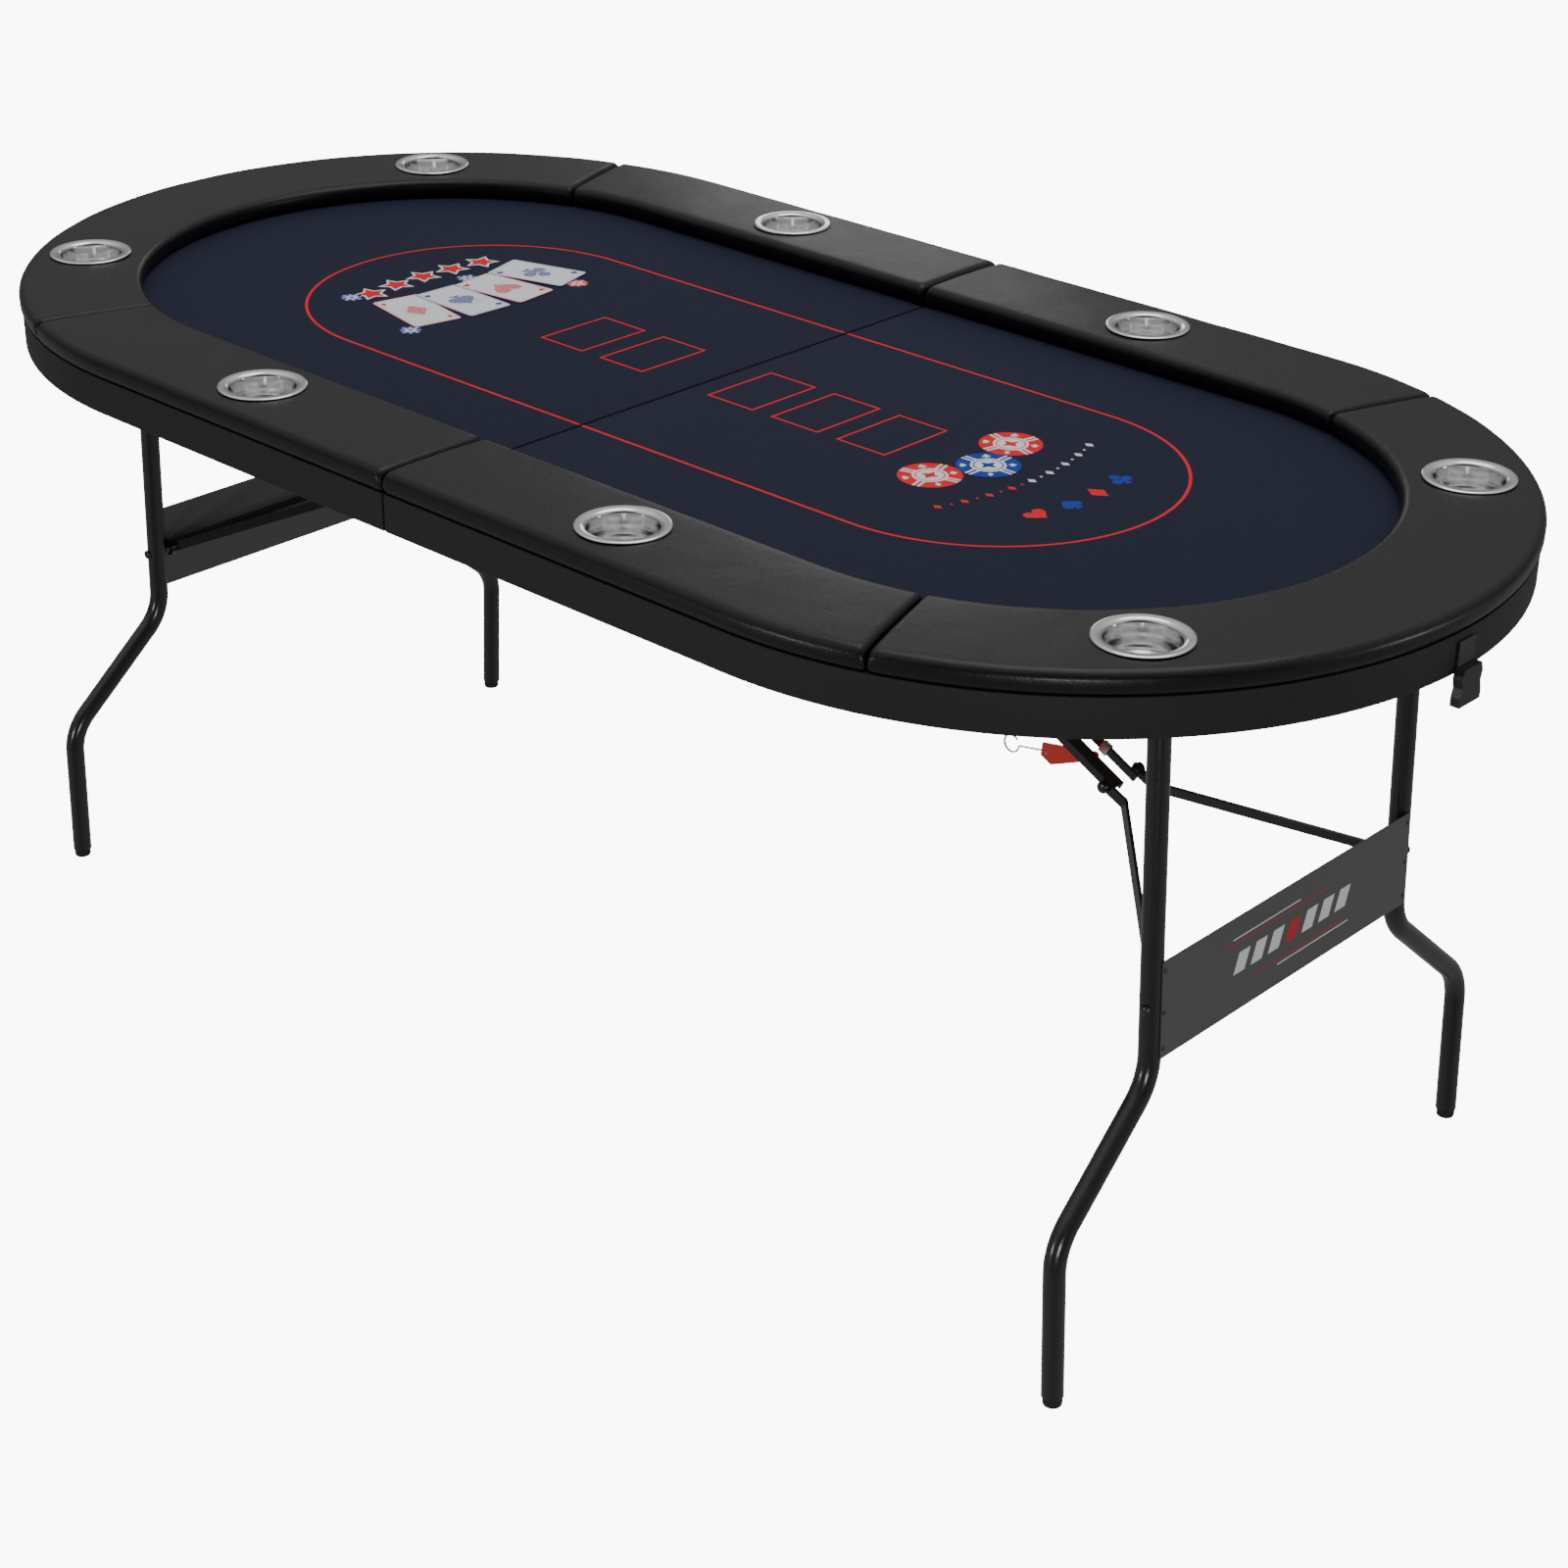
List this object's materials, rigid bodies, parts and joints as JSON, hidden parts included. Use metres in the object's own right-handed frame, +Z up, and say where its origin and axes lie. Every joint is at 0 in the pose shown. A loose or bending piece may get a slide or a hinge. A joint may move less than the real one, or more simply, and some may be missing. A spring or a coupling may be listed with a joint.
{
  "type": "folding card table",
  "caption": "Folding padded card table: stadium-shaped top with a cloth playing surface, cup holders in a leather rail, and two folding steel leg frames.",
  "frame": {"origin": "centre of the table on the floor", "axes": "+X along the table towards the end with the buckle socket, +Y across it, +Z up"},
  "size_m": [1.8496, 0.925, 0.762],
  "materials": {
    "board": "raw fibreboard",
    "play_cloth": "printed navy speed cloth",
    "apron": "fine-textured black skin",
    "leather": "soft black faux leather",
    "stainless": "polished stainless",
    "black_paint": "gloss black powder coat",
    "grey_paint": "satin charcoal powder coat",
    "foot_rubber": "matte",
    "red_paint": "red paint",
    "zinc": "bright zinc plate",
    "webbing": "woven black webbing",
    "buckle_plastic": "moulded black plastic"
  },
  "bodies": {
    "left_half": {"left_top_board": "board", "left_play_cloth": "play_cloth", "left_apron": "apron", "left_rail_pad_near": "leather", "left_rail_pad_far": "leather", "left_rail_pad_end": "leather", "left_cup_side_near": "stainless", "left_cup_side_far": "stainless", "left_cup_end_near": "stainless", "left_cup_end_far": "stainless", "left_brace_bracket": "black_paint", "left_saddle_near": "zinc", "left_saddle_far": "zinc", "left_strap": "webbing", "left_buckle_plug": "buckle_plastic", "left_hinge_leaf_near": "zinc", "left_hinge_leaf_far": "zinc", "hinge_pin_near": "zinc", "hinge_pin_far": "zinc"},
    "right_half": {"right_top_board": "board", "right_play_cloth": "play_cloth", "right_apron": "apron", "right_rail_pad_near": "leather", "right_rail_pad_far": "leather", "right_rail_pad_end": "leather", "right_cup_side_near": "stainless", "right_cup_side_far": "stainless", "right_cup_end_near": "stainless", "right_cup_end_far": "stainless", "right_brace_bracket": "black_paint", "right_saddle_near": "zinc", "right_saddle_far": "zinc", "right_strap": "webbing", "right_buckle_socket": "buckle_plastic", "right_hinge_leaf_near": "zinc", "right_hinge_leaf_far": "zinc"},
    "left_leg": {"left_leg_frame": "black_paint", "left_leg_panel": "grey_paint", "left_stretcher": "black_paint", "left_foot_near": "foot_rubber", "left_foot_far": "foot_rubber"},
    "left_brace_link": {"left_link_channel": "black_paint", "left_link_bar": "black_paint", "left_slide_clip": "zinc"},
    "left_v_brace": {"left_v_brace_near": "black_paint", "left_v_brace_far": "black_paint"},
    "left_lock_lever": {"left_lock_lever": "red_paint", "left_lever_pull": "zinc"},
    "right_leg": {"right_leg_frame": "black_paint", "right_leg_panel": "grey_paint", "right_stretcher": "black_paint", "right_foot_near": "foot_rubber", "right_foot_far": "foot_rubber"},
    "right_brace_link": {"right_link_channel": "black_paint", "right_link_bar": "black_paint", "right_slide_clip": "zinc"},
    "right_v_brace": {"right_v_brace_near": "black_paint", "right_v_brace_far": "black_paint"},
    "right_lock_lever": {"right_lock_lever": "red_paint", "right_lever_pull": "zinc"}
  },
  "joints": [
    {"name": "table_fold", "type": "hinge", "parent": "left_half", "child": "right_half", "pos_m": [0, 0, 0.6907], "axis": [0, 1, 0], "range_deg": [0, 90]},
    {"name": "right_leg_fold", "type": "hinge", "parent": "right_half", "child": "right_leg", "pos_m": [0.737, 0, 0.7088], "axis": [0, 1, 0], "range_deg": [0, 92.75]},
    {"name": "right_link_swing", "type": "hinge", "parent": "right_half", "child": "right_brace_link", "pos_m": [0.05, 0, 0.718], "axis": [0, -1, 0], "range_deg": [0, 27.4]},
    {"name": "right_v_brace_swing", "type": "hinge", "parent": "right_leg", "child": "right_v_brace", "pos_m": [0.75521, 0, 0.37129], "axis": [0, 1, 0], "range_deg": [0, 60.9]},
    {"name": "right_lock_lever_swing", "type": "hinge", "parent": "right_brace_link", "child": "right_lock_lever", "pos_m": [0.52474, 0, 0.47479], "axis": [0, 1, 0], "range_deg": [0, 35], "stiffness_Nm_per_rad": 0.15, "springref_deg": -17.19},
    {"name": "left_leg_fold", "type": "hinge", "parent": "left_half", "child": "left_leg", "pos_m": [-0.737, 0, 0.7088], "axis": [0, -1, 0], "range_deg": [0, 92.75]},
    {"name": "left_link_swing", "type": "hinge", "parent": "left_half", "child": "left_brace_link", "pos_m": [-0.05, 0, 0.718], "axis": [0, 1, 0], "range_deg": [0, 27.4]},
    {"name": "left_v_brace_swing", "type": "hinge", "parent": "left_leg", "child": "left_v_brace", "pos_m": [-0.75521, 0, 0.37129], "axis": [0, -1, 0], "range_deg": [0, 60.9]},
    {"name": "left_lock_lever_swing", "type": "hinge", "parent": "left_brace_link", "child": "left_lock_lever", "pos_m": [-0.52474, 0, 0.47479], "axis": [0, -1, 0], "range_deg": [0, 35], "stiffness_Nm_per_rad": 0.15, "springref_deg": -17.19}
  ],
  "couplings": [
    {"joint": "right_link_swing", "follows": "right_leg_fold", "ratio": 0.29247},
    {"joint": "right_v_brace_swing", "follows": "right_leg_fold", "ratio": 0.65324},
    {"joint": "left_link_swing", "follows": "left_leg_fold", "ratio": 0.29247},
    {"joint": "left_v_brace_swing", "follows": "left_leg_fold", "ratio": 0.65324}
  ]
}
